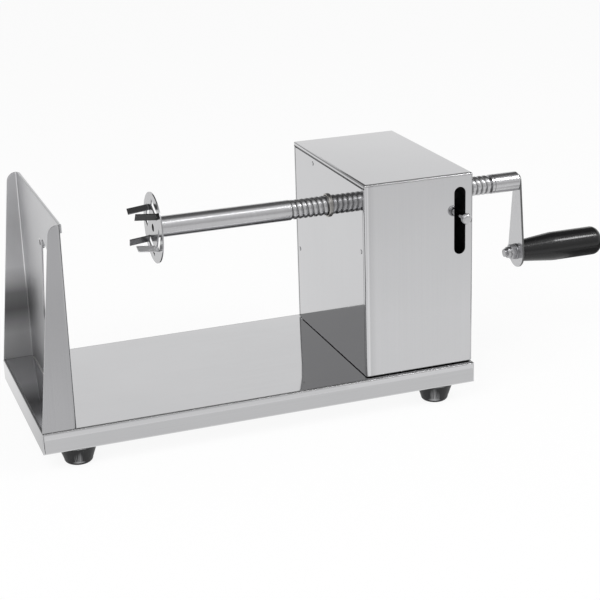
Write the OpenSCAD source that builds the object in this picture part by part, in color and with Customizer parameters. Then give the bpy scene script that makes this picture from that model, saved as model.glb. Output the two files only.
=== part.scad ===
// Hand cranked spiral potato cutter. A crank turns a screw in a housing, the screw pushes a
// fork towards a blade on a bent steel stand, and a lever lifts a half nut off the screw.
// Bench directions: x from the base's left end, y from its front edge, z from the table.

/* [Base] */
// Length of the base tray
base_l = 400; // [380:5:440]
// Width of the base tray, front to back
base_w = 190; // [176:2:216]
// Height of the tray's folded edge
base_h = 19.5; // [17:0.5:26]
// Sheet thickness of the tray
base_t = 1.5; // [1:0.1:2]
// Inside radius of the tray's bends
base_bend = 0.7; // [0.4:0.1:1.5]
// Width of the lip turned in under each long side
base_lip = 38; // [36:1:50]

/* [Feet] */
// Diameter of a rubber foot at its top
foot_top_d = 34.5; // [29:0.5:35]
// Diameter of a rubber foot near the table
foot_low_d = 25; // [22:0.5:27]
// Height of a rubber foot
foot_h = 17.5; // [14:0.5:26]
// Radius round the foot's lower edge
foot_edge = 3.5; // [2:0.5:5]
// Distance of a foot's centre from the tray's end
foot_in_x = 32.5; // [24:0.5:42]
// Distance of a foot's centre from the tray's long side
foot_in_y = 18; // [16.5:0.5:19]
// Shank diameter of the foot screws
foot_screw_d = 5; // [4:0.5:6]

/* [Blade stand] */
// Distance of the stand's cutting face from the tray's left end
stand_x = 30; // [26:1:36]
// Height of the stand above the tray
stand_h = 179; // [172:1:190]
// Sheet thickness of the stand
stand_t = 1.5; // [1:0.1:2]
// Inside radius of the stand's upright bends
stand_bend = 1.5; // [0.8:0.1:2.5]
// Gap between the stand's sides and the tray's long sides
stand_in = 1.5; // [1:0.25:3]
// Width of a side wing at its top
wing_top = 11; // [9:0.5:14]
// Width of a side wing at the tray
wing_low = 29.5; // [25:0.5:30]
// Radius of a side wing's upper corner
wing_r = 9; // [6:0.5:9]
// Height of the folded hem along the top
hem_h = 8; // [5:0.5:10]
// Slant of the window and blade
window_turn = 16; // [10:0.5:20]
// Distance of the window's rear edge in front of the crank's axis
window_edge = 6; // [6:0.5:8]
// Width of the window
window_w = 50; // [44:1:54]
// Height of the window above the crank's axis
window_up = 10; // [8:0.5:12]
// Depth of the window below the crank's axis
window_down = 76; // [60:1:80]
// Corner radius of the window
window_r = 8; // [4:0.5:10]

/* [Blade] */
// Thickness of the blade
blade_t = 1.5; // [1:0.1:2]
// Width of the blade
blade_w = 27; // [22:0.5:30]
// Width of the ground bevel
bevel_w = 4; // [2:0.5:5]
// Length of the blade past each end of the window
blade_over = 14; // [12:0.5:16]
// Outer diameter of the skewer guide
guide_d = 8; // [7:0.5:8.5]
// Bore of the skewer guide
guide_bore = 5.2; // [4:0.1:5.4]
// Length of the skewer guide in front of the stand
guide_l = 12; // [8:0.5:16]
// Shank diameter of the blade screws
blade_screw_d = 4; // [3:0.5:5]

/* [Housing] */
// Distance of the housing's left face from the tray's left end
house_x = 295.5; // [285:0.5:300]
// Length of the housing along the crank's axis
house_l = 104; // [96:1:110]
// Gap between the housing and the tray's long sides
house_in = 5; // [3:0.5:8]
// Height of the housing above the tray
house_h = 178.5; // [176:0.5:190]
// Sheet thickness of the cover
cover_t = 1.2; // [0.8:0.1:1.6]
// Outside radius of the cover's bends
cover_r = 2.4; // [2:0.1:3]
// Gap under the cover
cover_gap = 1; // [0.6:0.1:1.6]
// Width of the lip that frames each end plate
lip_w = 4; // [3:0.5:6]
// Width of the sunk flange that carries each end plate
flange_w = 16; // [14:0.5:20]
// Sheet thickness of the end plates
plate_t = 1.4; // [1:0.1:2]
// Width of an end plate's foot
plate_foot = 18; // [16:1:24]
// Width of the lever's slot in the cover
slot_w = 11; // [9:0.5:12]
// Length of the lever's slot in the cover
slot_l = 62; // [56:1:66]
// Diameter of the rivet heads
rivet_d = 4; // [3:0.5:5]
// Shank diameter of the housing screws
house_screw_d = 4; // [3:0.5:5]

/* [Crank screw] */
// Height of the crank's axis above the tray
axis_h = 138; // [134:1:142]
// Distance of the fork disc from the tray's left end, as drawn
fork_x = 129.5; // [118:0.5:140]
// Length of the smooth push tube
tube_l = 127; // [118:1:134]
// Outer diameter of the push tube
tube_d = 19; // [17:0.5:20]
// Wall of the push tube
tube_wall = 1.5; // [1:0.1:3]
// Length of the thread
thread_l = 200; // [185:1:210]
// Pitch of the thread
pitch = 5; // [4:0.5:6]
// Depth of the thread
thread_depth = 1.4; // [1:0.1:1.8]
// How far the thread's crests lie inside the tube's diameter
crest_in = 0.3; // [0.2:0.05:0.5]
// Length of the groove in which the thread runs out
runout_l = 2.2; // [1.5:0.1:3]
// Thickness of the stop washer
washer_t = 3; // [2:0.25:4]
// Diameter of the neck that carries the stop washer
neck_d = 12; // [10:0.5:13]
// Length of the crank hub
hub_l = 26.2; // [24:0.1:34]

/* [Fork] */
// Diameter of the fork disc
disc_d = 64; // [58:1:70]
// Thickness of the fork disc and its prongs
disc_t = 1.2; // [1:0.1:2]
// Hole for the skewer in the disc
disc_bore = 7; // [6:0.5:9]
// Length of a prong
prong_l = 20.5; // [15:0.5:22]
// Width of a prong
prong_w = 7; // [5:0.2:8]
// Distance of the prongs' slots from the disc's centre
prong_off = 19.5; // [17:0.1:22]
// Distance of a prong's root to the side of the disc's centre
prong_back = 8.6; // [6:0.1:11]
// Lean of a prong over its slot, from the crank's axis
prong_lean = 8; // [4:1:20]
// How much shorter a prong is on its outer side
prong_cut = 0.4; // [0:0.1:3]
// Turn of the fork at rest
fork_turn = 27; // [0:1:45]

/* [Crank] */
// Distance between the crank's axis and the grip's axis
crank_r = 71; // [62:1:78]
// Thickness of the crank arm
arm_t = 2; // [1.5:0.1:4]
// Radius of the arm's upper end, on the hub
arm_top_r = 6.5; // [5:0.5:9]
// Radius of the arm's lower end
arm_low_r = 15.3; // [13:0.1:18]
// Diameter of the grip's bolt
bolt_d = 8; // [6:0.5:10]
// Length of bolt that stands past the nut
bolt_tail = 6; // [4:0.5:14]
// Height of the grip's nut
nut_h = 4.8; // [4:0.1:8]
// Width across the flats of the grip's nut
nut_af = 13; // [12:0.5:17]
// Length of the nut's round locking collar
nut_collar = 4; // [2:0.5:5]
// Thickness of the grip's washer
grip_washer_t = 1.6; // [1:0.1:2]
// Length of the collar between arm and grip
collar_l = 2; // [1:0.25:4]
// Length of the grip
grip_l = 86.3; // [70:0.1:95]
// Diameter of the grip at the arm
grip_root_d = 21; // [19:0.5:24]
// Largest diameter of the grip
grip_d = 28; // [26:0.5:32]
// Length of the grip's tapered part
grip_taper = 34; // [20:1:40]
// Radius round the grip's end
grip_nose = 8; // [6:0.5:11]
// Depth of the recess for the bolt's head
recess_l = 11; // [9:0.5:14]

/* [Release lever] */
// Distance of the lever's pivot from the housing's left face
pivot_in = 13; // [12:0.5:16]
// Height of the lever's pivot above the crank's axis
pivot_up = 12; // [8:0.5:14]
// Diameter of the pivot pin
pivot_d = 6; // [5:0.5:7]
// Radius of the lever's ends
lever_r = 8; // [7:0.5:9]
// Thickness of the lever
lever_t = 4; // [3:0.5:5]
// Distance of the lever's rear face in front of the crank's axis
lever_out = 21; // [20:0.5:24]
// Distance of the release pin from the housing's right face
release_in = 13; // [11:0.5:16]
// Height of the release pin above the crank's axis
release_up = 3; // [0:0.5:4]
// Diameter of the release pin
release_d = 6; // [4:0.5:7]
// How far the release knob stands out in front of the tray
knob_out = 12; // [9:0.5:18]
// Diameter of the release knob
knob_d = 10; // [8:0.5:12]
// Length of the release knob
knob_l = 6.5; // [6:0.5:10]
// Thread turns held by the half nut
nut_turns = 6; // [4:1:7]
// Wall of the half nut round the thread
nut_wall = 6; // [4:0.5:8]

/* [Fits] */
// Radial clearance of turning fits
run_gap = 0.08; // [0.05:0.01:0.1]
// Radial clearance of fixed fits
seat_gap = 0.05; // [0.03:0.01:0.1]
// Side clearance between moving faces
side_gap = 0.3; // [0.3:0.05:0.5]
// Clearance between the screw's thread and the half nut
thread_gap = 0.4; // [0.35:0.05:0.5]

/* [Hidden] */
$fn = 64;
// Thread facets round one turn, and slices along one turn of the screw and of the half nut
thread_sides = 16;
thread_slices = 8;
nut_slices = 16;
cut = 1;

axis_y = base_w / 2;
deck_z = foot_h + base_h;
axis_z = deck_z + axis_h;
base_r = base_t + base_bend;

foot_top_r = foot_top_d / 2;
foot_low_r = foot_low_d / 2;
foot_screw_r = foot_screw_d / 2;
foot_head_r = foot_screw_r * 1.9;
foot_head_h = foot_screw_r * 1.4;
foot_washer_r = foot_head_r + 1.2;
foot_washer_t = 1;
foot_seat = 8;
foot_recess = foot_h - foot_seat;
foot_nut_h = foot_screw_d * 0.8;
foot_spots = [[foot_in_x, foot_in_y], [base_l - foot_in_x, foot_in_y],
              [foot_in_x, base_w - foot_in_y], [base_l - foot_in_x, base_w - foot_in_y]];

stand_r = stand_t + stand_bend;
stand_y0 = stand_in;
stand_y1 = base_w - stand_in;
stand_z1 = deck_z + stand_h;

blade_x0 = stand_x + pitch - blade_t;
blade_x1 = blade_x0 + blade_t;
blade_screw_r = blade_screw_d / 2;
blade_screw_y = -window_edge - blade_w / 2;
blade_screw_zs = [window_up + blade_over / 2, -window_down - blade_over / 2];
boss_r = blade_screw_r + 2;
guide_r = guide_d / 2;
guide_collar_r = guide_r + 1.5;
guide_collar_t = 1.5;

house_x1 = house_x + house_l;
cover_y0 = house_in;
cover_y1 = base_w - house_in;
cover_z0 = deck_z + cover_gap;
cover_z1 = deck_z + house_h;
plate_in = 0.1;
recess_x = plate_t + plate_in;
plate_gap = 0.8;
plate_r = 2;
flange_up = 4;
angle_h = flange_up + cover_gap - 0.5;
rivet_in = (lip_w + flange_w) / 2;
rivet_r = rivet_d / 2;
rivet_head = 0.5;
rivet_top_y = 38;
rivet_front_z = 22;
rivet_rear_z = 65;
rivet_spots = [[axis_y + rivet_top_y, cover_z1 - rivet_in], [cover_y0 + rivet_in, axis_z - rivet_front_z],
               [cover_y1 - rivet_in, axis_z - rivet_rear_z]];
slot_x = house_x1 - release_in;
slot_r = slot_w / 2;
slot_z0 = axis_z - slot_l / 2 - 2.4;
slot_z1 = slot_z0 + slot_l;
house_screw_r = house_screw_d / 2;
house_screw_in = 11;
house_nut_h = house_screw_d * 0.8;
house_screw_y = 55;
house_spots = [for (x = [house_x + house_screw_in, house_x1 - house_screw_in],
                    y = [axis_y - house_screw_y, axis_y + house_screw_y]) [x, y]];
bush_r = tube_d / 2 + 1.5;
bush_flange_r = bush_r + 2.5;
bush_nose = 2;
bush_edge = 0.5;
bush_flange_t = 2.5;
bush_l = 12;
bush_bore_r = tube_d / 2 + run_gap;

tube_r = tube_d / 2;
tube_x0 = fork_x + disc_t;
thread_x0 = tube_x0 + tube_l;
thread_x1 = thread_x0 + thread_l;
crest_r = tube_r - crest_in;
thread_off = thread_depth / 2;
thread_mid_r = crest_r - thread_off;
neck_r = neck_d / 2;
washer_r = crest_r;
washer_x0 = thread_x1 + runout_l;
hub_x0 = washer_x0 + washer_t + side_gap;
hub_x1 = hub_x0 + hub_l;
hub_r = crest_r;
hub_edge = 1;

disc_r = disc_d / 2;
prong_bend = 0.8;
prong_ease = 0.05;
blank_gap = 0.5;

arm_x0 = hub_x1;
arm_x1 = arm_x0 + arm_t;
grip_z = axis_z - crank_r;
bolt_r = bolt_d / 2;
collar_r = bolt_r + 2;
grip_x0 = arm_x1 + collar_l + side_gap;
grip_x1 = grip_x0 + grip_l;
grip_r = grip_d / 2;
recess_x0 = grip_x1 - recess_l;
recess_r = bolt_r + 3.5;
head_l = bolt_d * 0.6;
cap_l = 3;
nut_x1 = arm_x0 - grip_washer_t;
nut_x0 = nut_x1 - nut_h;

pivot_x = house_x + pivot_in;
pivot_z = axis_z + pivot_up;
pivot_r = pivot_d / 2;
release_z = axis_z + release_up;
release_r = release_d / 2;
lever_y1 = axis_y - lever_out;
lever_y0 = lever_y1 - lever_t;
bracket_t = 2.5;
bracket_x0 = house_x + plate_in + plate_t;
ear_y0 = lever_y0 - side_gap - bracket_t;
ear_y1 = lever_y1 + side_gap + bracket_t;
ear_r = pivot_r + 4;
clip_t = 0.8;
knob_y0 = -knob_out;
knob_y1 = knob_y0 + knob_l;
release_nut_h = release_d * 0.6;
nut_from = round((house_x + (house_l - nut_turns * pitch) / 2 - thread_x0) / pitch);
half_x0 = thread_x0 + nut_from * pitch;
half_x1 = half_x0 + nut_turns * pitch;
half_r = crest_r + thread_gap + nut_wall;
half_wrap = 1.5;
half_screw_r = 2;
half_screw_z = axis_z + 6;
half_screw_l = 7;
half_screw_in = 7;
half_screw_xs = [half_x0 + half_screw_in, half_x1 - half_screw_in];

// The drawing's origin is under the middle of the whole cutter's box
mid_x = grip_x1 / 2;
mid_y = (base_w + knob_y0) / 2;

// Placing and shared shapes

module place() {
    translate([-mid_x, -mid_y, 0]) children();
}

// A flat outline in y and z, drawn out along x
module along_x(x0, x1) {
    translate([x0, 0, 0]) rotate([90, 0, 90]) linear_extrude(x1 - x0) children();
}

// A flat outline in x and z, drawn out along y
module along_y(y0, y1) {
    translate([0, y1, 0]) rotate([90, 0, 0]) linear_extrude(y1 - y0) children();
}

module rod_x(r, x0, x1) {
    translate([x0, 0, 0]) rotate([0, 90, 0]) cylinder(r = r, h = x1 - x0);
}

module rod_y(r, y0, y1) {
    translate([0, y0, 0]) rotate([-90, 0, 0]) cylinder(r = r, h = y1 - y0);
}

module on_axis() {
    translate([0, axis_y, axis_z]) children();
}

module block(a, b) {
    translate(a) cube(b - a);
}

// A rectangle with four round corners
module round_rect(a, b, r) {
    translate([a.x + r, a.y]) square([b.x - a.x - 2 * r, b.y - a.y]);
    translate([a.x, a.y + r]) square([b.x - a.x, b.y - a.y - 2 * r]);
    for (x = [a.x + r, b.x - r], y = [a.y + r, b.y - r])
        translate([x, y]) circle(r = r);
}

// A rectangle with only its upper corners round
module arch(a, b, r) {
    translate(a) square([b.x - a.x, b.y - a.y - r]);
    translate([a.x + r, a.y]) square([b.x - a.x - 2 * r, b.y - a.y]);
    for (x = [a.x + r, b.x - r])
        translate([x, b.y - r]) circle(r = r);
}

// A hexagon with its flats af apart
module hexagon(af) {
    circle(r = af / 2 / cos(30), $fn = 6);
}

// Base tray

module tray_block(s) {
    r = base_r - s;
    intersection() {
        along_x(s, base_l - s) round_rect([s, foot_h + s], [base_w - s, deck_z - s], r);
        along_y(s, base_w - s) arch([s, foot_h - cut + s], [base_l - s, deck_z - s], r);
        linear_extrude(deck_z) round_rect([s, s], [base_l - s, base_w - s], r);
    }
}

module base_plate() {
    color("silver") place() difference() {
        tray_block(0);
        tray_block(base_t);
        block([base_t, base_lip, foot_h - cut], [base_l - base_t, base_w - base_lip, foot_h + base_h / 2]);
        for (p = foot_spots)
            translate([p.x, p.y, foot_h - cut]) cylinder(r = foot_screw_r + seat_gap, h = base_h / 2);
        for (p = house_spots)
            translate([p.x, p.y, deck_z - base_t - cut])
                cylinder(r = house_screw_r + seat_gap, h = base_h / 2);
    }
}

// Feet and their fasteners

module foot(spot) {
    color("#1c1c1c") place() translate([spot.x, spot.y, 0]) rotate_extrude() difference() {
        union() {
            polygon([[0, 0], [foot_low_r - foot_edge, 0], [foot_low_r - foot_edge, foot_edge],
                     [foot_low_r, foot_edge], [foot_top_r, foot_h], [0, foot_h]]);
            translate([foot_low_r - foot_edge, foot_edge]) circle(r = foot_edge);
        }
        translate([-cut, -cut]) square([cut + foot_washer_r + seat_gap, cut + foot_recess]);
        translate([-cut, -cut]) square([cut + foot_screw_r + seat_gap, foot_h + 2 * cut]);
        translate([-foot_top_r, -cut]) square([foot_top_r, foot_h + 2 * cut]);
    }
}

module at_feet(z) {
    for (p = foot_spots)
        translate([p.x, p.y, z]) children();
}

module foot_washers() {
    color("lightgray") place() at_feet(foot_recess - foot_washer_t) difference() {
        cylinder(r = foot_washer_r, h = foot_washer_t);
        translate([0, 0, -cut]) cylinder(r = foot_screw_r + seat_gap, h = foot_washer_t + 2 * cut);
    }
}

module foot_screws() {
    head_z = foot_recess - foot_washer_t - foot_head_h;
    color("lightgray") place() at_feet(head_z) difference() {
        union() {
            cylinder(r = foot_head_r, h = foot_head_h);
            cylinder(r = foot_screw_r, h = foot_h + base_t + foot_nut_h + 1 - head_z);
        }
        translate([0, 0, -cut]) linear_extrude(cut + foot_head_h / 2) hexagon(foot_screw_r * 1.2);
    }
}

module foot_nuts() {
    color("lightgray") place() at_feet(foot_h + base_t) linear_extrude(foot_nut_h) difference() {
        hexagon(foot_screw_d * 1.6);
        circle(r = foot_screw_r + seat_gap);
    }
}

// Blade stand

// Outline of a side wing and the web's edge, in x and z
module wing_outline() {
    c = [stand_x - wing_top + wing_r, stand_z1 - wing_r];
    foot_x = stand_x - wing_low;
    lean = atan((c.x - wing_r - foot_x) / (c.y - deck_z));
    polygon([[foot_x, deck_z], [stand_x, deck_z], [stand_x, stand_z1], [c.x, stand_z1], c,
             [c.x - wing_r * cos(lean), c.y + wing_r * sin(lean)]]);
    translate(c) circle(r = wing_r);
}

module blade_stand() {
    color("silver") place() difference() {
        union() {
            intersection() {
                translate([0, 0, deck_z]) linear_extrude(stand_h) difference() {
                    stand_plan(0);
                    stand_plan(stand_t);
                }
                along_y(0, base_w) wing_outline();
            }
            // The hem is folded over on the potato's side
            along_y(stand_y0 + stand_r, stand_y1 - stand_r) {
                translate([stand_x - stand_t, stand_z1 - hem_h]) square([2 * stand_t, hem_h - stand_t]);
                translate([stand_x, stand_z1 - stand_t]) circle(r = stand_t);
            }
        }
        at_window() along_x(stand_x - stand_t - cut, stand_x + cut)
            round_rect([-window_edge - window_w, -window_down], [-window_edge, window_up], window_r);
        on_axis() rod_x(guide_r + seat_gap, stand_x - stand_t - cut, stand_x + cut);
    }
}

// Plan of the stand's channel, open to the left
module stand_plan(s) {
    x0 = s > 0 ? -cut : stand_x - wing_low;
    r = stand_r - s;
    translate([x0, stand_y0 + s]) square([stand_x - s - r - x0, stand_y1 - stand_y0 - 2 * s]);
    translate([x0, stand_y0 + s + r]) square([stand_x - s - x0, stand_y1 - stand_y0 - 2 * s - 2 * r]);
    for (y = [stand_y0 + stand_r, stand_y1 - stand_r])
        translate([stand_x - stand_r, y]) circle(r = r);
}

// Blade and skewer guide

module blade() {
    top = window_up + blade_over;
    low = -window_down - blade_over;
    color("gainsboro") place() at_window() difference() {
        translate([0, 0, low]) linear_extrude(top - low)
            polygon([[blade_x1, -window_edge], [blade_x1, -window_edge - blade_w],
                     [blade_x0, -window_edge - blade_w], [blade_x0, -window_edge - bevel_w]]);
        at_blade_screws() rod_x(blade_screw_r + seat_gap, blade_x0 - cut, blade_x1 + cut);
    }
}

// The window's slanting directions, from the crank's axis
module at_window() {
    on_axis() rotate([window_turn, 0, 0]) children();
}

module at_blade_screws() {
    for (z = blade_screw_zs)
        translate([0, blade_screw_y, z]) children();
}

module blade_bosses() {
    color("lightgray") place() at_window() at_blade_screws() difference() {
        rod_x(boss_r, stand_x, blade_x0);
        rod_x(blade_screw_r + seat_gap, stand_x + 0.5, blade_x0 + cut);
    }
}

module blade_screws() {
    head = blade_screw_r * 1.2;
    color("lightgray") place() at_window() at_blade_screws() difference() {
        union() {
            rod_x(blade_screw_r, stand_x + 0.8, blade_x1);
            rod_x(blade_screw_r * 1.8, blade_x1, blade_x1 + head);
        }
        block([blade_x1 + head / 2, -0.5, -2 * blade_screw_r],
              [blade_x1 + head + cut, 0.5, 2 * blade_screw_r]);
    }
}

// The guide's back end is flush with the stand's outer face
module skewer_guide() {
    tip = 2;
    color("gainsboro") place() on_axis() difference() {
        union() {
            rod_x(guide_r, stand_x - stand_t, stand_x + guide_l - tip);
            rod_x(guide_collar_r, stand_x, stand_x + guide_collar_t);
            translate([stand_x + guide_l - tip, 0, 0]) rotate([0, 90, 0])
                cylinder(r1 = guide_r, r2 = guide_bore / 2 + 0.3, h = tip);
        }
        rod_x(guide_bore / 2, 0, stand_x + guide_l + cut);
    }
}

// Housing

module cover_outline(s, low) {
    r = max(cover_r - s, 0.3);
    arch([cover_y0 + s, low], [cover_y1 - s, cover_z1 - s], r);
}

// One end of the cover: a narrow lip, a step and a sunk flange, for the housing's left face
module cover_end() {
    along_x(0, cover_t) difference() {
        cover_outline(0, cover_z0);
        cover_outline(lip_w, cover_z0 - cut);
    }
    along_x(0, recess_x + cover_t) difference() {
        cover_outline(lip_w - cover_t, cover_z0 + flange_up);
        cover_outline(lip_w, cover_z0);
    }
    along_x(recess_x, recess_x + cover_t) difference() {
        cover_outline(lip_w - cover_t, cover_z0 + flange_up);
        cover_outline(flange_w, cover_z0);
    }
}

module housing_cover() {
    color("silver") place() difference() {
        intersection() {
            union() {
                along_x(house_x, house_x1) difference() {
                    cover_outline(0, cover_z0);
                    cover_outline(cover_t, cover_z0 - cut);
                }
                translate([house_x, 0, 0]) cover_end();
                translate([house_x1, 0, 0]) mirror([1, 0, 0]) cover_end();
            }
            along_y(0, base_w) arch([house_x, deck_z], [house_x1, cover_z1], cover_r);
            linear_extrude(cover_z1) round_rect([house_x, cover_y0], [house_x1, cover_y1], cover_r);
        }
        along_y(cover_y0 - cut, cover_y0 + cover_t + cut)
            round_rect([slot_x - slot_r, slot_z0], [slot_x + slot_r, slot_z1], slot_r - 0.01);
        for (p = rivet_spots)
            translate([0, p.x, p.y])
                rod_x(rivet_r / 2 + seat_gap, house_x + recess_x - cut, house_x1 - recess_x + cut);
    }
}

// An end plate for the housing's left end; the angle welded behind it holds it just off the tray
module end_plate() {
    top = cover_z1 - lip_w - plate_gap;
    angle_x = plate_in + plate_t;
    difference() {
        intersection() {
            along_y(0, base_w) {
                translate([plate_in, cover_z0]) square([plate_t, top - cover_z0]);
                difference() {
                    union() {
                        translate([plate_in, deck_z + plate_r]) square([plate_foot - plate_in, angle_h - plate_r]);
                        translate([angle_x + plate_r, deck_z]) square([plate_foot - angle_x - plate_r, angle_h]);
                        translate([angle_x + plate_r, deck_z + plate_r]) circle(r = plate_r);
                    }
                    translate([angle_x + plate_t, deck_z + plate_t]) square([plate_foot, angle_h]);
                }
            }
            along_x(0, plate_foot) cover_outline(lip_w + plate_gap, deck_z);
        }
        on_axis() rod_x(bush_r + seat_gap, -cut, plate_foot);
        for (p = rivet_spots)
            translate([0, p.x, p.y]) rod_x(rivet_r / 2 + seat_gap, -cut, plate_foot);
        for (p = house_spots)
            translate([house_screw_in, p.y, deck_z - cut])
                cylinder(r = house_screw_r + seat_gap, h = plate_foot);
    }
}

module at_left_end() {
    place() translate([house_x, 0, 0]) children();
}

module at_right_end() {
    place() translate([house_x1, 0, 0]) mirror([1, 0, 0]) children();
}

module bush() {
    back = plate_in + plate_t;
    on_axis() difference() {
        union() {
            rod_x(bush_r, plate_in - bush_nose + bush_edge, back + bush_l);
            translate([plate_in - bush_nose, 0, 0]) rotate([0, 90, 0])
                cylinder(r1 = bush_r - bush_edge, r2 = bush_r, h = bush_edge);
            rod_x(bush_flange_r, back, back + bush_flange_t);
        }
        rod_x(bush_bore_r, plate_in - bush_nose - cut, back + bush_l + cut);
    }
}

module rivets() {
    for (p = rivet_spots)
        translate([0, p.x, p.y]) {
            rod_x(rivet_r, plate_in - rivet_head, plate_in);
            rod_x(rivet_r / 2, plate_in, recess_x + cover_t);
            rod_x(rivet_r * 0.8, recess_x + cover_t, recess_x + cover_t + 1);
        }
}

module left_end_plate() {
    color("lightgray") at_left_end() end_plate();
}

module right_end_plate() {
    color("lightgray") at_right_end() end_plate();
}

module left_bush() {
    color("darkkhaki") at_left_end() bush();
}

module right_bush() {
    color("darkkhaki") at_right_end() bush();
}

module left_rivets() {
    color("gray") at_left_end() rivets();
}

module right_rivets() {
    color("gray") at_right_end() rivets();
}

module housing_screws() {
    head = house_screw_r * 1.2;
    color("lightgray") place() for (p = house_spots)
        translate([p.x, p.y, deck_z - base_t - head]) difference() {
            union() {
                cylinder(r = house_screw_r * 1.8, h = head);
                cylinder(r = house_screw_r, h = head + base_t + plate_t + house_nut_h + 1);
            }
            translate([-2 * house_screw_r, -0.5, -cut]) cube([4 * house_screw_r, 1, cut + head / 2]);
        }
}

module housing_nuts() {
    color("lightgray") place() for (p = house_spots)
        translate([p.x, p.y, deck_z + plate_t]) linear_extrude(house_nut_h) difference() {
            hexagon(house_screw_d * 1.7);
            circle(r = house_screw_r + seat_gap);
        }
}

// Release lever and half nut

module lever_bracket() {
    ear_x1 = pivot_x + ear_r;
    color("gray") place() difference() {
        intersection() {
            translate([0, 0, pivot_z - ear_r - 3]) linear_extrude(2 * ear_r + 6) difference() {
                translate([bracket_x0, ear_y0]) square([ear_x1 - bracket_x0, ear_y1 - ear_y0]);
                translate([bracket_x0 + bracket_t, ear_y0 + bracket_t])
                    square([ear_x1, ear_y1 - ear_y0 - 2 * bracket_t]);
            }
            along_y(ear_y0, ear_y1) {
                translate([pivot_x, pivot_z]) circle(r = ear_r);
                translate([bracket_x0, pivot_z - ear_r]) square([pivot_x - bracket_x0, 2 * ear_r]);
                translate([bracket_x0, pivot_z - ear_r - 3]) square([bracket_t, 2 * ear_r + 6]);
            }
        }
        translate([pivot_x, 0, pivot_z]) rod_y(pivot_r + seat_gap, ear_y0 - cut, ear_y1 + cut);
    }
}

module pivot_pin() {
    color("silver") place() translate([pivot_x, 0, pivot_z]) difference() {
        union() {
            rod_y(pivot_r, ear_y0, ear_y1 + clip_t + 1);
            rod_y(pivot_r + 1.5, ear_y0 - 2, ear_y0);
        }
        difference() {
            rod_y(pivot_r + cut, ear_y1, ear_y1 + clip_t);
            rod_y(pivot_r - 0.6, ear_y1 - cut, ear_y1 + clip_t + cut);
        }
    }
}

module pivot_clip() {
    neck = pivot_r - 0.6 + seat_gap;
    color("dimgray") place() translate([pivot_x, 0, pivot_z]) difference() {
        rod_y(pivot_r + 1.8, ear_y1, ear_y1 + clip_t);
        rod_y(neck, ear_y1 - cut, ear_y1 + clip_t + cut);
        block([-neck, ear_y1 - cut, 0], [neck, ear_y1 + clip_t + cut, pivot_r + 3]);
    }
}

module release_lever() {
    color("silver") place() difference() {
        along_y(lever_y0, lever_y1) hull() {
            translate([pivot_x, pivot_z]) circle(r = lever_r);
            translate([slot_x, release_z]) circle(r = lever_r);
        }
        translate([pivot_x, 0, pivot_z]) rod_y(pivot_r + run_gap, lever_y0 - cut, lever_y1 + cut);
        translate([slot_x, 0, release_z]) rod_y(release_r + seat_gap, lever_y0 - cut, lever_y1 + cut);
        for (x = half_screw_xs)
            translate([x, 0, half_screw_z]) rod_y(half_screw_r + seat_gap, lever_y0 - cut, lever_y1 + cut);
    }
}

// A round thread as a slanting stack of off-centre circles
module thread(x0, turns, grow, slices) {
    on_axis() translate([x0, 0, 0]) rotate([0, 90, 0])
        linear_extrude(turns * pitch, twist = -360 * turns, slices = round(turns * slices),
                       convexity = 6, $fn = thread_sides)
            translate([thread_off, 0]) circle(r = thread_mid_r + grow);
}

module half_nut() {
    lip = half_r * 0.45;
    color("goldenrod") place() difference() {
        along_x(half_x0, half_x1)
            polygon([[lever_y1, axis_z - 6], [axis_y - crest_r - nut_wall, axis_z - 6],
                     [axis_y - crest_r - nut_wall, axis_z + half_wrap], [axis_y + half_r, axis_z + half_wrap],
                     [axis_y + half_r, axis_z + lip], [axis_y + lip, axis_z + half_r],
                     [lever_y1, axis_z + half_r]]);
        thread(half_x0 - pitch, nut_turns + 2, thread_gap, nut_slices);
        for (x = half_screw_xs)
            translate([x, 0, half_screw_z])
                rod_y(half_screw_r + seat_gap, lever_y1 - cut, lever_y1 + half_screw_l + cut, $fn = 24);
    }
}

module half_nut_screws() {
    color("lightgray") place() for (x = half_screw_xs)
        translate([x, 0, half_screw_z]) difference() {
            union() {
                rod_y(half_screw_r, lever_y0, lever_y1 + half_screw_l);
                rod_y(half_screw_r * 1.8, lever_y0 - 2.4, lever_y0);
            }
            block([-2 * half_screw_r, lever_y0 - 2.4 - cut, -0.5], [2 * half_screw_r, lever_y0 - 1.2, 0.5]);
        }
}

module release_pin() {
    color("silver") place() translate([slot_x, 0, release_z]) {
        rod_y(release_r, knob_y1 - knob_l / 2, lever_y1 + release_nut_h + 1);
        difference() {
            rod_y(release_r + 2, lever_y0 - 3, lever_y0);
            rod_y(release_r - 1, lever_y0 - 3 - cut, lever_y0 + cut);
        }
    }
}

module release_nut() {
    color("lightgray") place() translate([slot_x, 0, release_z]) along_y(lever_y1, lever_y1 + release_nut_h)
        difference() {
            hexagon(release_d * 1.65);
            circle(r = release_r + seat_gap);
        }
}

module release_knob() {
    round = knob_d * 0.3;
    color("gainsboro") place() translate([slot_x, knob_y0, release_z]) rotate([-90, 0, 0]) rotate_extrude()
        difference() {
            union() {
                square([knob_d / 2 - round, knob_l]);
                translate([0, round]) square([knob_d / 2, knob_l - 2 * round]);
                for (y = [round, knob_l - round])
                    translate([knob_d / 2 - round, y]) circle(r = round);
            }
            translate([-cut, knob_l / 2]) square([cut + release_r + seat_gap, knob_l]);
            translate([-knob_d, -cut]) square([knob_d, knob_l + 2 * cut]);
        }
}

// Crank screw

module push_tube() {
    color("silver") place() on_axis() difference() {
        rod_x(tube_r, tube_x0, thread_x0);
        rod_x(tube_r - tube_wall, tube_x0 - cut, thread_x0 - 4);
    }
}

module lead_screw() {
    color("darkgray") place() thread(thread_x0, thread_l / pitch, 0, thread_slices);
}

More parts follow.
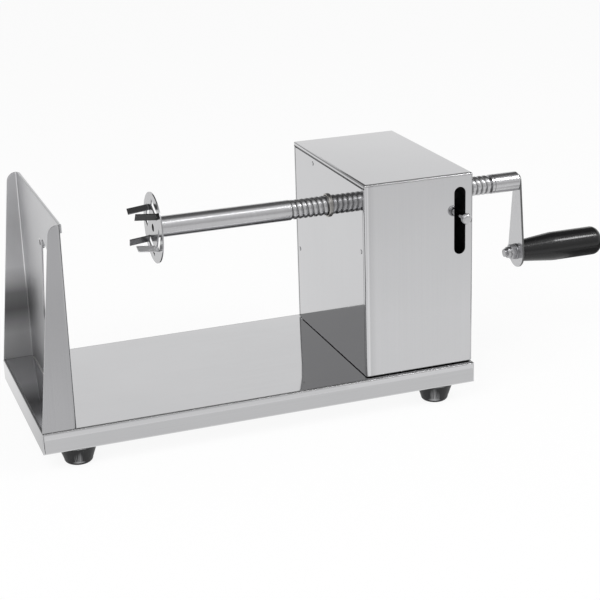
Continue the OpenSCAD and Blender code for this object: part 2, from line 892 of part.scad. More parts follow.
// Places a shape made for one prong at each of the four: y runs along its slot, z outwards
module at_prongs() {
    for (k = [0 : 3])
        rotate([fork_turn + 90 * k, 0, 0]) translate([0, -prong_back, prong_off - prong_w / 2]) children();
}

// One prong, bent out of the disc at its root and leaning over its slot, with a slanted tip
module prong() {
    bend = 90 - prong_lean;
    r_in = prong_bend + prong_ease;
    r_out = prong_bend + disc_t - prong_ease;
    straight = prong_l - (r_in + r_out) / 2 * bend * PI / 180;
    turns = [for (k = [0 : 6]) bend * k / 6];
    back = [for (k = [0 : 6]) turns[6 - k]];
    slant = atan(prong_cut / prong_w);
    translate([-prong_bend, 0, 0]) difference() {
        linear_extrude(prong_w) polygon(concat(
            [[r_out, -1]], [for (a = turns) r_out * [cos(a), sin(a)]],
            [for (r = [r_out, r_in])
                r * [cos(bend), sin(bend)] + (straight + cut) * [-sin(bend), cos(bend)]],
            [for (a = back) r_in * [cos(a), sin(a)]], [[r_in, -1]]));
        rotate([0, 0, bend]) translate([prong_bend - cut, straight, 0]) rotate([slant, 0, 0])
            translate([0, 0, -cut]) cube([disc_t + 2 * cut, prong_cut + 4 * cut, 2 * prong_w]);
    }
}

module fork_disc() {
    color("silver") place() on_axis() translate([fork_x, 0, 0]) {
        difference() {
            rod_x(disc_r, 0, disc_t);
            rod_x(disc_bore / 2, -cut, disc_t + cut);
            at_prongs()
                block([-cut, 0, -blank_gap], [disc_t + cut, prong_l + blank_gap, prong_w + blank_gap]);
        }
        at_prongs() prong();
    }
}

module stop_washer() {
    color("silver") place() on_axis() difference() {
        rod_x(washer_r, washer_x0, washer_x0 + washer_t);
        rod_x(neck_r + run_gap, washer_x0 - cut, washer_x0 + washer_t + cut);
    }
}

module crank_hub() {
    color("silver") place() on_axis() {
        rod_x(neck_r, thread_x1, hub_x0);
        rod_x(hub_r, hub_x0, hub_x1 - hub_edge);
        translate([hub_x1 - hub_edge, 0, 0]) rotate([0, 90, 0])
            cylinder(r1 = hub_r, r2 = hub_r - hub_edge, h = hub_edge);
    }
}

// Crank arm and grip

module crank_arm() {
    color("silver") place() difference() {
        along_x(arm_x0, arm_x1) hull() {
            translate([axis_y, axis_z]) circle(r = arm_top_r);
            translate([axis_y, grip_z]) circle(r = arm_low_r);
        }
        translate([0, axis_y, grip_z]) rod_x(bolt_r + seat_gap, arm_x0 - cut, arm_x1 + cut);
    }
}

module at_grip() {
    translate([0, axis_y, grip_z]) children();
}

module grip_bolt() {
    color("lightgray") place() at_grip() difference() {
        union() {
            rod_x(bolt_r, nut_x0 - bolt_tail, recess_x0 + head_l);
            rod_x(collar_r, arm_x1, arm_x1 + collar_l);
            rod_x(recess_r - 0.6, recess_x0 + side_gap, recess_x0 + side_gap + head_l);
        }
        along_x(recess_x0 + side_gap + head_l / 2, grip_x1) hexagon(bolt_d * 0.75);
    }
}

module grip_nut() {
    lock_r = nut_af / 2 - 1;
    color("lightgray") place() at_grip() difference() {
        union() {
            along_x(nut_x0, nut_x1) hexagon(nut_af);
            rod_x(lock_r, nut_x0 - nut_collar + 1, nut_x0);
            translate([nut_x0 - nut_collar, 0, 0]) rotate([0, 90, 0])
                cylinder(r1 = lock_r - 1, r2 = lock_r, h = 1);
        }
        rod_x(bolt_r + seat_gap, nut_x0 - nut_collar - cut, nut_x1 + cut);
    }
}

module grip_washer() {
    color("gray") place() at_grip() difference() {
        rod_x(nut_af * 0.6, nut_x1, arm_x0);
        rod_x(bolt_r + seat_gap, nut_x1 - cut, arm_x0 + cut);
    }
}

// The grip's outer shape, turned about its axis: radius across, length upwards
module grip_outline() {
    polygon([[0, 0], [grip_root_d / 2 - 1, 0], [grip_root_d / 2, 1], [grip_r, grip_taper],
             [grip_r, grip_l - grip_nose], [grip_r - grip_nose, grip_l], [0, grip_l]]);
    intersection() {
        translate([grip_r - grip_nose, grip_l - grip_nose]) circle(r = grip_nose);
        translate([0, grip_l - grip_nose]) square([grip_r, grip_nose]);
    }
}

module grip() {
    color("#181818") place() at_grip() translate([grip_x0, 0, 0]) rotate([0, 90, 0]) rotate_extrude()
        difference() {
            grip_outline();
            translate([0, -cut]) square([bolt_r + run_gap, grip_l]);
            translate([0, grip_l - recess_l]) square([recess_r, recess_l + cut]);
        }
}

module grip_cap() {
    color("#222222") place() at_grip() translate([grip_x0, 0, 0]) rotate([0, 90, 0]) rotate_extrude()
        intersection() {
            grip_outline();
            translate([0, grip_l - cap_l]) square([recess_r - seat_gap, cap_l]);
        }
}

base_plate();
foot(foot_spots[0]);  // foot_front_left
foot(foot_spots[1]);  // foot_front_right
foot(foot_spots[2]);  // foot_rear_left
foot(foot_spots[3]);  // foot_rear_right
foot_washers();
foot_screws();
foot_nuts();
blade_stand();
blade();
blade_bosses();
blade_screws();
skewer_guide();
housing_cover();
left_end_plate();
right_end_plate();
left_bush();
right_bush();
left_rivets();
right_rivets();
housing_screws();
housing_nuts();
lever_bracket();
pivot_pin();
pivot_clip();
release_lever();
half_nut();
half_nut_screws();
release_pin();
release_nut();
release_knob();
push_tube();
lead_screw();
fork_disc();
stop_washer();
crank_hub();
crank_arm();
grip_bolt();
grip_nut();
grip_washer();
grip();
grip_cap();
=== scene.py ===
import math
import bmesh
import bpy
from mathutils import Matrix, Vector


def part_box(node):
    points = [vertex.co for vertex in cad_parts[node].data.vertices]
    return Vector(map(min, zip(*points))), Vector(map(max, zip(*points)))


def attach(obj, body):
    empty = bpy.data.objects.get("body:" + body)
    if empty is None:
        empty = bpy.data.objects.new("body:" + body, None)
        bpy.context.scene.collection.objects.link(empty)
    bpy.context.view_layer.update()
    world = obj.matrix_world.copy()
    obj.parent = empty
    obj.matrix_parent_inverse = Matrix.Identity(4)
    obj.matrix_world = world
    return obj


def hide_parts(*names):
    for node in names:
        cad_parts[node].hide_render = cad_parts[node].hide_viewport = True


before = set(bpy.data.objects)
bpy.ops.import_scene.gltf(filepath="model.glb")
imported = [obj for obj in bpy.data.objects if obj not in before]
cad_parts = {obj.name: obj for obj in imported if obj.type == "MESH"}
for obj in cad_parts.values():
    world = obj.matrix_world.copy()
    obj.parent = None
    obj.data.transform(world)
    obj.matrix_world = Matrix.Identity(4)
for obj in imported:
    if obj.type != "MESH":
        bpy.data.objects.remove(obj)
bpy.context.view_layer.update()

# Base tray. One sheet of bright stainless steel, bent down on four sides with the long sides
# turned in underneath, and polished along its length. Everything else is screwed or welded to it.


class Channel:
    """A socket in a material, so that sums on it can be written as sums."""

    def __init__(self, tree, socket=None):
        self.tree = tree
        self.socket = socket

    def node(self, kind, settings, sockets, out=0):
        """Any node: first its settings, then the values or links of its sockets."""
        made = self.tree.nodes.new(kind)
        for name, value in settings.items():
            if name == "stops":
                ramp = made.color_ramp
                while len(ramp.elements) < len(value):
                    ramp.elements.new(0.5)
                for stop, (place, grey) in zip(ramp.elements, value):
                    stop.position = place
                    stop.color = (grey, grey, grey, 1)
            else:
                setattr(made, name, value)
        for name, value in sockets.items():
            if isinstance(value, Channel):
                self.tree.links.new(value.socket, made.inputs[name])
            else:
                made.inputs[name].default_value = value
        return Channel(self.tree, made.outputs[out])

    def maths(self, operation, a, b):
        return self.node("ShaderNodeMath", {"operation": operation}, {0: a, 1: b})

    def __add__(self, other):
        return self.maths("ADD", self, other)

    __radd__ = __add__

    def __mul__(self, other):
        return self.maths("MULTIPLY", self, other)

    __rmul__ = __mul__

    def __sub__(self, other):
        return self.maths("SUBTRACT", self, other)

    def __rsub__(self, other):
        return self.maths("SUBTRACT", other, self)

    def __abs__(self):
        return self.maths("ABSOLUTE", self, 0)

    def least(self, other):
        return self.maths("MINIMUM", self, other)

    def most(self, other):
        return self.maths("MAXIMUM", self, other)

    def mm_from(self, edge):
        """How far this place is from an edge, in millimetres."""
        return abs(self - edge) * 1000

    def ramp(self, start, end, low=0, high=1):
        """From low, where the value is start, to high, where it is end."""
        return self.node("ShaderNodeMapRange", {}, {0: self, 1: start, 2: end, 3: low, 4: high})

    def graph(self, stops):
        """A grey read off between the stops, each one a value and its grey."""
        return self.node("ShaderNodeValToRGB", {"stops": stops}, {"Fac": self})

    def on_part(self):
        """The place on the part, in metres."""
        return self.node("ShaderNodeTexCoord", {}, {}, "Object")

    def axis(self, letter):
        return self.node("ShaderNodeSeparateXYZ", {}, {"Vector": self}, letter)

    def noise(self, scale, detail, roughness=0.5):
        sockets = {"Vector": self, "Scale": scale, "Detail": detail, "Roughness": roughness}
        return self.node("ShaderNodeTexNoise", {}, sockets, "Fac")

    def tint(self, dark, light):
        """A colour between dark, where the value is 0, and light, where it is 1."""
        sockets = {0: self, 6: (*dark, 1), 7: (*light, 1)}
        return self.node("ShaderNodeMix", {"data_type": "RGBA"}, sockets, 2)

    def relief(self, strength, distance):
        """The value as a fine height on the surface."""
        sockets = {"Height": self, "Strength": strength, "Distance": distance}
        return self.node("ShaderNodeBump", {}, sockets)


def finish_of(name, metallic, fixed):
    """A new material, its shader with what is the same all over it, and a first channel."""
    mat = bpy.data.materials.new(name)
    mat.use_nodes = True
    shader = mat.node_tree.nodes["Principled BSDF"]
    shader.inputs["Metallic"].default_value = metallic
    for socket, value in fixed.items():
        shader.inputs[socket].default_value = value
    return mat, shader, Channel(mat.node_tree)


def drive(mat, shader, **channels):
    """Leads channels into the shader's sockets."""
    for name, value in channels.items():
        mat.node_tree.links.new(value.socket, shader.inputs[name.replace("_", " ")])


def steel(name, light, dark, rough, grain, bump=0.02, blotch=14, painted_light=None):
    """Stainless steel: fine streaks, as many a metre along each axis as grain says, and faint
    clouds, blotch of them a metre. Where a mask of painted light is given, it turns a place on
    the part into painted shade or highlight: 0 is painted dark and made dull, 1 leaves the steel
    as it is, and more is painted brighter."""
    mat, shader, first = finish_of(name, 1, {})
    place = first.on_part()
    streak_place = first.node("ShaderNodeMapping", {}, {"Vector": place, "Scale": grain})
    streak = streak_place.noise(1, 4, 0.6)
    cloud = place.noise(blotch, 3)
    tint = (streak * 0.5 + cloud * 0.5).tint(dark, light)
    roughness = rough * 0.7 + streak * (0.4 * rough) + cloud * (0.2 * rough)
    if painted_light:
        # painted light and shade scale the colour, and dull the polish where they darken it
        shade = painted_light(place)
        tint = first.node("ShaderNodeVectorMath", {"operation": "SCALE"}, {0: tint, "Scale": shade})
        roughness = roughness + (1 - shade).most(0) * 0.9
    drive(mat, shader, Base_Color=tint, Roughness=roughness, Normal=streak.relief(bump, 0.0004))
    return mat


same_point = 1e-6                   # corners nearer than this are one corner
nearly_flat = math.radians(0.6)     # triangles that meet flatter than this are one face
sharp_bend = math.radians(30)       # edges that bend more than this are broken


def dressed(node, body, material, edge):
    """A CAD node's own shape in its finish, with its triangles joined and its sharp edges broken,
    edge metres wide."""
    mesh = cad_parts[node].data.copy()
    mesh.materials.clear()
    mesh.materials.append(material)
    bm = bmesh.new()
    bm.from_mesh(mesh)
    bmesh.ops.remove_doubles(bm, verts=bm.verts, dist=same_point)
    bmesh.ops.dissolve_limit(bm, angle_limit=nearly_flat, verts=bm.verts, edges=bm.edges)
    for face in bm.faces:
        face.smooth = True
        face.material_index = 0
    bm.to_mesh(mesh)
    bm.free()
    mesh.set_sharp_from_angle(angle=sharp_bend)
    piece = bpy.data.objects.new(node + "_dressed", mesh)
    bpy.context.collection.objects.link(piece)
    if edge:
        bevel = piece.modifiers.new("broken_edges", "BEVEL")
        bevel.width = edge
        bevel.segments = 2
        bevel.limit_method = "ANGLE"
        bevel.angle_limit = sharp_bend
        bevel.harden_normals = True
        bevel.use_clamp_overlap = True
    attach(piece, body)
    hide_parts(node)
    return piece


tray_low, tray_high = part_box("base_plate")
tray_bend_dulling_and_painted_shade = 0.6


def tray_bend_painted_shade(place):
    """Painted shade: along the bends round the top, the colour is painted darker and the polish
    is made duller. All distances in these masks are in millimetres from the tray's own edges."""
    x, y, z = (place.axis(letter) for letter in "XYZ")
    from_ends = x.mm_from(tray_low.x).least(x.mm_from(tray_high.x))
    from_sides = y.mm_from(tray_low.y).least(y.mm_from(tray_high.y))
    rim = from_ends.least(from_sides).ramp(2.8, 1.6)
    top = z.mm_from(tray_high.z).ramp(1.3, 0.5)
    return 1 - rim * top * tray_bend_dulling_and_painted_shade


tray_steel = steel("tray_steel", (0.62, 0.62, 0.63), (0.53, 0.53, 0.54), rough=0.05,
                   grain=(5, 700, 700), bump=0.02, painted_light=tray_bend_painted_shade)
dressed("base_plate", "frame", tray_steel, 0.0003)

# Blade stand. The same bright sheet, folded into a channel whose wings taper upwards, with a hem
# along its top and a slanting window for the cut potato. It is welded down on the tray.
stand_low, stand_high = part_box("blade_stand")
painted_bands_by_height = ((0, 0.55), (0.14, 0.6), (0.27, 0.34), (0.36, 0.42), (0.5, 1), (0.72, 0.8),
                  (1, 0.9))
painted_band_gain = 1.2


def painted_reflection_bands(place):
    """Painted reflection: the back wing's inner face is painted lighter and darker in soft bands
    across it, from the foot to the top, and made duller where it is darker.
    """
    height = (place.axis("Z") - stand_low.z) * (1 / (stand_high.z - stand_low.z))
    return height.graph(painted_bands_by_height) * painted_band_gain


# The three finishes are one sheet of steel in painted tones, lighter or darker for how the light
# falls on each face.
stand_outside = steel("stand_steel", (0.46, 0.46, 0.47), (0.37, 0.37, 0.38), rough=0.16,
                      grain=(900, 900, 6), bump=0.12)
stand_inside_painted_bands = steel("stand_inside_painted_bands", (0.72, 0.72, 0.73), (0.6, 0.6, 0.61), rough=0.4,
                     grain=(60, 60, 16), bump=0.04, blotch=9, painted_light=painted_reflection_bands)
stand_web_painted_tone = steel("stand_web_painted_tone", (0.56, 0.56, 0.57), (0.46, 0.46, 0.47), rough=0.32,
                  grain=(900, 900, 6), bump=0.1)
front_wing_depth = 0.05     # nothing of the front wing lies further back than this
square_on = 0.7             # a face looks along an axis if its normal is more along it than this
blade_stand = dressed("blade_stand", "frame", stand_outside, 0.00025)
blade_stand.data.materials.append(stand_inside_painted_bands)
blade_stand.data.materials.append(stand_web_painted_tone)
# Painted light: the back wing's inner face takes the lighter steel with painted bands, and the
# faces that look left take a painted tone of their own.
for face in blade_stand.data.polygons:
    behind_front_wing = face.center.y > stand_low.y + front_wing_depth
    if face.normal.y < -square_on and behind_front_wing:
        face.material_index = 1
    elif face.normal.x < -square_on:
        face.material_index = 2
    else:
        face.material_index = 0

# Weld along the stand's foot, inside the channel, where its web meets the tray. A rippled bead of
# bright steel that stops short of the two wings.
weld_radius = 0.001
weld_length = stand_high.y - stand_low.y - 0.012
weld_rings = 240
weld_ripple = 2400          # radians a metre, which is a ripple every 1.3 mm
thinnest, swelling = 0.85, 0.25     # of the radius, between two ripples and on top of one
web_left_face = -0.2615


def object_of(bm, name, material):
    """A new object of one material, with the shape that bm holds."""
    mesh = bpy.data.meshes.new(name)
    bm.to_mesh(mesh)
    bm.free()
    mesh.materials.append(material)
    piece = bpy.data.objects.new(name, mesh)
    bpy.context.collection.objects.link(piece)
    return piece


weld_steel = steel("weld_steel", (0.8, 0.8, 0.8), (0.6, 0.59, 0.57), rough=0.3,
                   grain=(300, 900, 300), bump=0.1, blotch=60)
bm = bmesh.new()
bmesh.ops.create_cone(bm, cap_ends=True, segments=12, radius1=weld_radius, radius2=weld_radius,
                      depth=weld_length)
lengthways = [e for e in bm.edges if abs(e.verts[0].co.z - e.verts[1].co.z) > weld_length / 2]
bmesh.ops.subdivide_edges(bm, edges=lengthways, cuts=weld_rings)
for vert in bm.verts:
    swell = thinnest + swelling * abs(math.sin(vert.co.z * weld_ripple))
    vert.co = Vector((vert.co.x * swell, vert.co.y * swell, vert.co.z))
bmesh.ops.rotate(bm, cent=(0, 0, 0), matrix=Matrix.Rotation(math.radians(-90), 3, "X"),
                 verts=bm.verts)
bmesh.ops.translate(bm, vec=(web_left_face, (stand_low.y + stand_high.y) / 2, stand_low.z),
                    verts=bm.verts)
for face in bm.faces:
    face.smooth = True
weld = object_of(bm, "foot_weld", weld_steel)
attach(weld, "frame")

# Housing. A cover folded from one sheet, with narrow framed ends, over two sunk end plates that
# are riveted to it. The sheets are bright stainless steel with the grain running upwards.
cover_low, cover_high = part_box("housing_cover")
cover_middle = (cover_low + cover_high) / 2
front_strip = 0.01          # width of the strip beside the front's left bend, with painted light and shade in it
front_painted_shades = ((0, 0.6), (0.02, 0.7), (0.06, 1), (0.3, 1), (0.42, 0.78), (1, 0.87))
front_painted_gain = 1.15           # painted light: the front is painted this much brighter than the rest
under_lid_dulling_and_painted_shade = 0.65
lid_bend_dulling_and_painted_shade = 0.35


def cover_painted_bend_light(place):
    """Painted light and shade: the bends are painted as dark lines and made duller. Beside the
    front's left bend, and under the lid's bend at both ends, bands of painted light and shade
    stand in for the light that doubles back. The masks count millimetres from the cover's own
    edges."""
    x, y, z = (place.axis(letter) for letter in "XYZ")
    from_left, from_right = x.mm_from(cover_low.x), x.mm_from(cover_high.x)
    from_front, from_top = y.mm_from(cover_low.y), z.mm_from(cover_high.z)
    strip = ((x - cover_low.x) * (1 / front_strip)).graph(front_painted_shades)
    right_bend = from_right.ramp(1.4, 0.4, 1, 0.6)
    front_shade = 1 + from_front.ramp(1.2, 2, 1, 0) * (strip * right_bend * front_painted_gain - 1)
    at_end = from_left.least(from_right).ramp(0.8, 0.3)
    under_lid = from_top.ramp(4.4, 4) * from_top.ramp(3.1, 2.7, 1, 0)
    front_corner = from_front.ramp(0.4, 2.4, 0.4, 0)
    end_shade = 1 - at_end * (under_lid * under_lid_dulling_and_painted_shade + front_corner)
    lid_bend = from_top.ramp(2.2, 1.2) * from_front.ramp(1.2, 2.6, 1, 0)
    return front_shade * end_shade * (1 - lid_bend * lid_bend_dulling_and_painted_shade)


cover_steel = steel("cover_steel", (0.58, 0.58, 0.59), (0.52, 0.52, 0.53), rough=0.05,
                    grain=(700, 700, 5), bump=0.01, painted_light=cover_painted_bend_light)
# Painted shade: faces that look into the housing get a dark, dull steel that stands in for the
# shade inside it.
mill_inside_painted_shade = steel("mill_inside_painted_shade", (0.3, 0.3, 0.3), (0.18, 0.18, 0.18), rough=0.5,
                    grain=(60, 60, 60))
for part in ("housing_cover", "left_end_plate", "right_end_plate"):
    sheet = dressed(part, "frame", cover_steel, 0.0002)
    sheet.data.materials.append(mill_inside_painted_shade)
    for face in sheet.data.polygons:
        looks_inwards = (face.center - cover_middle).dot(face.normal) < 0
        face.material_index = int(looks_inwards)
rivet_steel = steel("rivet_steel", (0.56, 0.56, 0.57), (0.48, 0.48, 0.49), rough=0.2,
                    grain=(900, 900, 900))
for rivets in ("left_rivets", "right_rivets"):
    dressed(rivets, "frame", rivet_steel, 0.00018)

# Half nut. A block of plain bronze with half of the screw's thread cut into it, worn a little
# patchy. It is fixed on the release lever by two screws.
bronze, bronze_shader, first = finish_of("bearing_bronze", 1, {})
cloud = first.on_part().noise(60, 4)
tint = cloud.tint((0.34, 0.22, 0.1), (0.6, 0.42, 0.2))
drive(bronze, bronze_shader, Base_Color=tint, Roughness=cloud * 0.2 + 0.28)
dressed("half_nut", "lever", bronze, 0.0002)

# Bushes. Sleeves of sintered bronze, greyed by oil and wear. They are pressed into the housing's
# end plates, and the crank screw runs in them.
sintered = steel("sintered_bronze", (0.5, 0.485, 0.465), (0.33, 0.32, 0.305), rough=0.3,
                 grain=(600, 600, 600), bump=0.15, blotch=300)
for part in ("left_bush", "right_bush"):
    dressed(part, "frame", sintered, 0.0002)

# Blade and skewer guide. Ground stainless steel: the blade has a bright bevel along its edge, and
# stands on two bosses that leave the slice's thickness free behind it.
blade_steel = steel("blade_steel", (0.74, 0.74, 0.75), (0.62, 0.62, 0.63), rough=0.16,
                    grain=(900, 20, 900))
for part in ("blade", "skewer_guide"):
    dressed(part, "frame", blade_steel, 0.00008)

# Small fasteners. Plain stainless screws, nuts and washers, and the blade's two bosses. They
# hold the blade, the feet, the housing, the half nut and the release pin.
fastener_steel = steel("fastener_steel", (0.5, 0.5, 0.51), (0.36, 0.36, 0.37), rough=0.22,
                       grain=(500, 500, 500))
for part in ("blade_bosses", "blade_screws", "foot_washers", "foot_screws", "foot_nuts",
             "housing_screws", "housing_nuts"):
    dressed(part, "frame", fastener_steel, 0.00015)
for part in ("half_nut_screws", "release_nut"):
    dressed(part, "lever", fastener_steel, 0.00015)

# Release lever. A flat steel bar on a pin in a folded bracket; a clip holds the pin. The long pin
# at its free end comes out through the housing's slot and carries a polished round knob.
lever_steel = steel("lever_steel", (0.56, 0.56, 0.57), (0.44, 0.44, 0.45), rough=0.26,
                    grain=(6, 400, 400))
dressed("release_lever", "lever", lever_steel, 0.0003)
dressed("lever_bracket", "frame", lever_steel, 0.0003)
dressed("pivot_pin", "frame", fastener_steel, 0.0002)
knob_steel = steel("knob_steel", (0.56, 0.56, 0.57), (0.44, 0.44, 0.45), rough=0.16,
                   grain=(300, 900, 300))
for part in ("release_pin", "release_knob"):
    dressed(part, "lever", knob_steel, 0.0003)

# Clip on the lever's pivot pin. Cut from thin blackened spring steel; it keeps the pin in its
# bracket, and is too thin to have its edges broken.
black, black_shader, first = finish_of("black_oxide", 0, {"Specular IOR Level": 0.6})
cloud = first.on_part().noise(90, 4)
tint = cloud.tint((0.02, 0.02, 0.022), (0.06, 0.06, 0.062))
drive(black, black_shader, Base_Color=tint, Roughness=cloud * 0.2 + 0.3)
dressed("pivot_clip", "frame", black, 0)

# Push tube, stop washer and crank hub. Drawn stainless tube, polished round and round; the washer
# is turned from bright bar and stops the screw at the housing's right end.
tube_steel = steel("tube_steel", (0.56, 0.56, 0.57), (0.46, 0.46, 0.47), rough=0.22,
                   grain=(900, 60, 60))
for part in ("push_tube", "crank_hub"):
    dressed(part, "screw", tube_steel, 0.0003)
dressed("stop_washer", "stop", tube_steel, 0.0002)

# Crank screw. Stainless bar with a rolled round thread that runs from the push tube to the
# stop washer; bright on its wide crests, duller in its grooves, and painted darker there as
# shade.
turns_join = 1e-5           # corners nearer than this, of one turn and the next, are one corner


def ground_thread(name, material, ends, axis, pitch, crest, groove, around, along, fullness):
    """A right-hand thread from one end to the other: one pitch of its outline, turned once and
    carried along turn after turn, then cut flat at both ends. A turn has around steps, a pitch
    has along steps, and a smaller fullness makes the crests wider."""
    bm = bmesh.new()
    outline = []
    for k in range(along + 1):
        rise = abs(math.sin(math.pi * k / along)) ** fullness
        x = ends[0] - pitch + pitch * k / along
        outline.append(bm.verts.new((x, axis[0], axis[1] + groove + (crest - groove) * rise)))
    strip = [bm.edges.new(pair) for pair in zip(outline, outline[1:])]
    bmesh.ops.spin(bm, geom=outline + strip, cent=(0, *axis), axis=(1, 0, 0),
                   dvec=(pitch / around, 0, 0), angle=math.tau, steps=around)
    one_turn = bm.verts[:] + bm.edges[:] + bm.faces[:]
    for turn in range(1, math.ceil((ends[1] - ends[0]) / pitch) + 2):
        copy = bmesh.ops.duplicate(bm, geom=one_turn)["geom"]
        bmesh.ops.translate(bm, vec=(turn * pitch, 0, 0),
                            verts=[v for v in copy if isinstance(v, bmesh.types.BMVert)])
    bmesh.ops.remove_doubles(bm, verts=bm.verts, dist=turns_join)
    for x, is_last in zip(ends, (False, True)):
        bmesh.ops.bisect_plane(bm, geom=bm.verts[:] + bm.edges[:] + bm.faces[:],
                               plane_co=(x, 0, 0), plane_no=(1, 0, 0),
                               clear_outer=is_last, clear_inner=not is_last)
    bmesh.ops.holes_fill(bm, edges=[e for e in bm.edges if e.is_boundary], sides=0)
    bmesh.ops.recalc_face_normals(bm, faces=bm.faces)
    for face in bm.faces:
        is_flat_end = len(face.verts) >= 8
        face.smooth = not is_flat_end
    piece = object_of(bm, name, material)
    piece.data.set_sharp_from_angle(angle=math.radians(60))
    return piece


screw_low, screw_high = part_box("lead_screw")
screw_axis = ((screw_low.y + screw_high.y) / 2, (screw_low.z + screw_high.z) / 2)
screw_crest = (screw_high.z - screw_low.z) / 2
screw_groove = screw_crest - 0.0011
rolled, rolled_shader, first = finish_of("rolled_steel", 1, {})
place = first.on_part()
centred = first.node("ShaderNodeMapping", {}, {
    "Vector": place, "Location": (0, -screw_axis[0], -screw_axis[1]), "Scale": (0, 1, 1)})
radius = first.node("ShaderNodeVectorMath", {"operation": "LENGTH"}, {0: centred}, "Value")
raised = radius.ramp(screw_groove, screw_crest)
cloud = place.noise(120, 4)
# Painted shade: the colour goes from dark in the grooves to light on the crests.
tint = (raised * 0.8 + cloud * 0.2).tint((0.34, 0.34, 0.34), (0.54, 0.54, 0.55))
drive(rolled, rolled_shader, Base_Color=tint, Roughness=0.32 - raised * 0.16 + cloud * 0.06)
crank_screw = ground_thread("crank_screw", rolled, (screw_low.x, screw_high.x), screw_axis,
                            pitch=0.005, crest=screw_crest, groove=screw_groove,
                            around=32, along=12, fullness=0.6)
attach(crank_screw, "screw")
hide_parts("lead_screw")

# Fork. A stainless disc, welded on the push tube, with four prongs cut from it and bent forward;
# a hole takes the skewer. The prongs have painted tones that stand in for light: the rear ones
# painted darker, the near upper one painted in deep shade, the near lower one painted light as
# a highlight.
fork_steel = steel("fork_steel", (0.48, 0.48, 0.49), (0.34, 0.34, 0.35), rough=0.2,
                   grain=(500, 90, 90))
rear_prong_painted_shade = steel("rear_prong_painted_shade", (0.3, 0.3, 0.305), (0.16, 0.16, 0.165), rough=0.24,
                    grain=(500, 500, 90))
near_prong_painted_shade = steel("near_prong_painted_shade", (0.1, 0.1, 0.1), (0.06, 0.06, 0.06), rough=0.3,
                   grain=(500, 500, 90))
near_prong_painted_highlight = steel("near_prong_painted_highlight", (0.8, 0.8, 0.81), (0.66, 0.66, 0.67), rough=0.55,
                   grain=(500, 500, 90), bump=0.1)
disc_thickness = 0.0012
before_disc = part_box("fork_disc")[1].x - disc_thickness - 0.0001    # only prongs reach past this
fork = dressed("fork_disc", "screw", fork_steel, 0.00025)
for material in (rear_prong_painted_shade, near_prong_painted_shade, near_prong_painted_highlight):
    fork.data.materials.append(material)
for face in fork.data.polygons:
    if face.center.x < before_disc:
        if face.center.y >= screw_axis[0]:
            face.material_index = 1
        else:
            face.material_index = 2 if face.center.z > screw_axis[1] else 3

# Crank arm. Flat stainless plate, wide at the grip and narrow at the hub, with dark sheared
# edges. It is welded to the hub, and the grip's bolt goes through it with a washer and a nut.
arm_steel = steel("arm_steel", (0.56, 0.56, 0.57), (0.48, 0.48, 0.49), rough=0.2,
                  grain=(500, 500, 12))
sheared = steel("sheared_edge", (0.2, 0.2, 0.2), (0.08, 0.08, 0.08), rough=0.4,
                grain=(20, 900, 900), bump=0.2)
crank_arm = dressed("crank_arm", "screw", arm_steel, 0.0003)
crank_arm.data.materials.append(sheared)
for face in crank_arm.data.polygons:
    is_edge = abs(face.normal.x) < 0.5
    face.material_index = int(is_edge)
for part in ("grip_nut", "grip_washer"):
    dressed(part, "screw", fastener_steel, 0.0003)

# Grip bolt. A stainless bolt through the grip and the arm; its tail is cut off the CAD shape and
# made again with its M8 thread, which shows beyond the nut.
bolt_low, bolt_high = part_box("grip_bolt")
bolt_axis = ((bolt_low.y + bolt_high.y) / 2, (bolt_low.z + bolt_high.z) / 2)
tail_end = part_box("grip_nut")[0].x + 0.001      # 1 mm inside the nut, so the cut doesn't show
grip_bolt = dressed("grip_bolt", "screw", fastener_steel, 0.0003)
bm = bmesh.new()
bm.from_mesh(grip_bolt.data)
bmesh.ops.bisect_plane(bm, geom=bm.verts[:] + bm.edges[:] + bm.faces[:],
                       plane_co=(tail_end, 0, 0), plane_no=(1, 0, 0), clear_inner=True)
bmesh.ops.holes_fill(bm, edges=[e for e in bm.edges if e.is_boundary], sides=0)
bm.to_mesh(grip_bolt.data)
bm.free()
bolt_tail = ground_thread("bolt_tail", fastener_steel, (bolt_low.x, tail_end), bolt_axis,
                          pitch=0.00125, crest=0.004, groove=0.0034,
                          around=32, along=8, fullness=0.8)
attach(bolt_tail, "screw")

# Grip. Glossy black moulded plastic that turns freely on its bolt, with a cap over the bolt's
# head. The mould leaves its surface faintly uneven.
gloss, gloss_shader, first = finish_of("black_gloss", 0, {"Specular IOR Level": 0.42, "IOR": 1.5})
cloud = first.on_part().noise(40, 3)
tint = cloud.tint((0.004, 0.004, 0.0045), (0.007, 0.007, 0.0075))
drive(gloss, gloss_shader, Base_Color=tint, Roughness=cloud * 0.06 + 0.17,
      Normal=cloud.relief(0.04, 0.0005))
for part in ("grip", "grip_cap"):
    dressed(part, "grip", gloss, 0.0003)

# Feet. Moulded black rubber cups, matt with a fine grain, screwed on through the tray's lips.
# A painted highlight: seen square on, the rubber's colour is painted greyer than at its
# rounded sides.
rubber, rubber_shader, first = finish_of("foot_rubber", 0, {"Specular IOR Level": 0.25})
place = first.on_part()
grain = place.noise(900, 3)
cloud = place.noise(60, 3)
bare = cloud.tint((0.01, 0.01, 0.011), (0.02, 0.02, 0.021))
painted_sheen = first.node("ShaderNodeLayerWeight", {}, {"Blend": 0.5}, "Facing").ramp(0.13, 0.26, 0.5, 0)
tint = first.node("ShaderNodeMix", {"data_type": "RGBA"},
                  {0: painted_sheen, 6: bare, 7: (0.9, 0.9, 0.92, 1)}, 2)
drive(rubber, rubber_shader, Base_Color=tint, Roughness=cloud * 0.15 + 0.36,
      Normal=grain.relief(0.12, 0.0002))
for part in ("foot_front_left", "foot_front_right", "foot_rear_left", "foot_rear_right"):
    dressed(part, "frame", rubber, 0.0004)

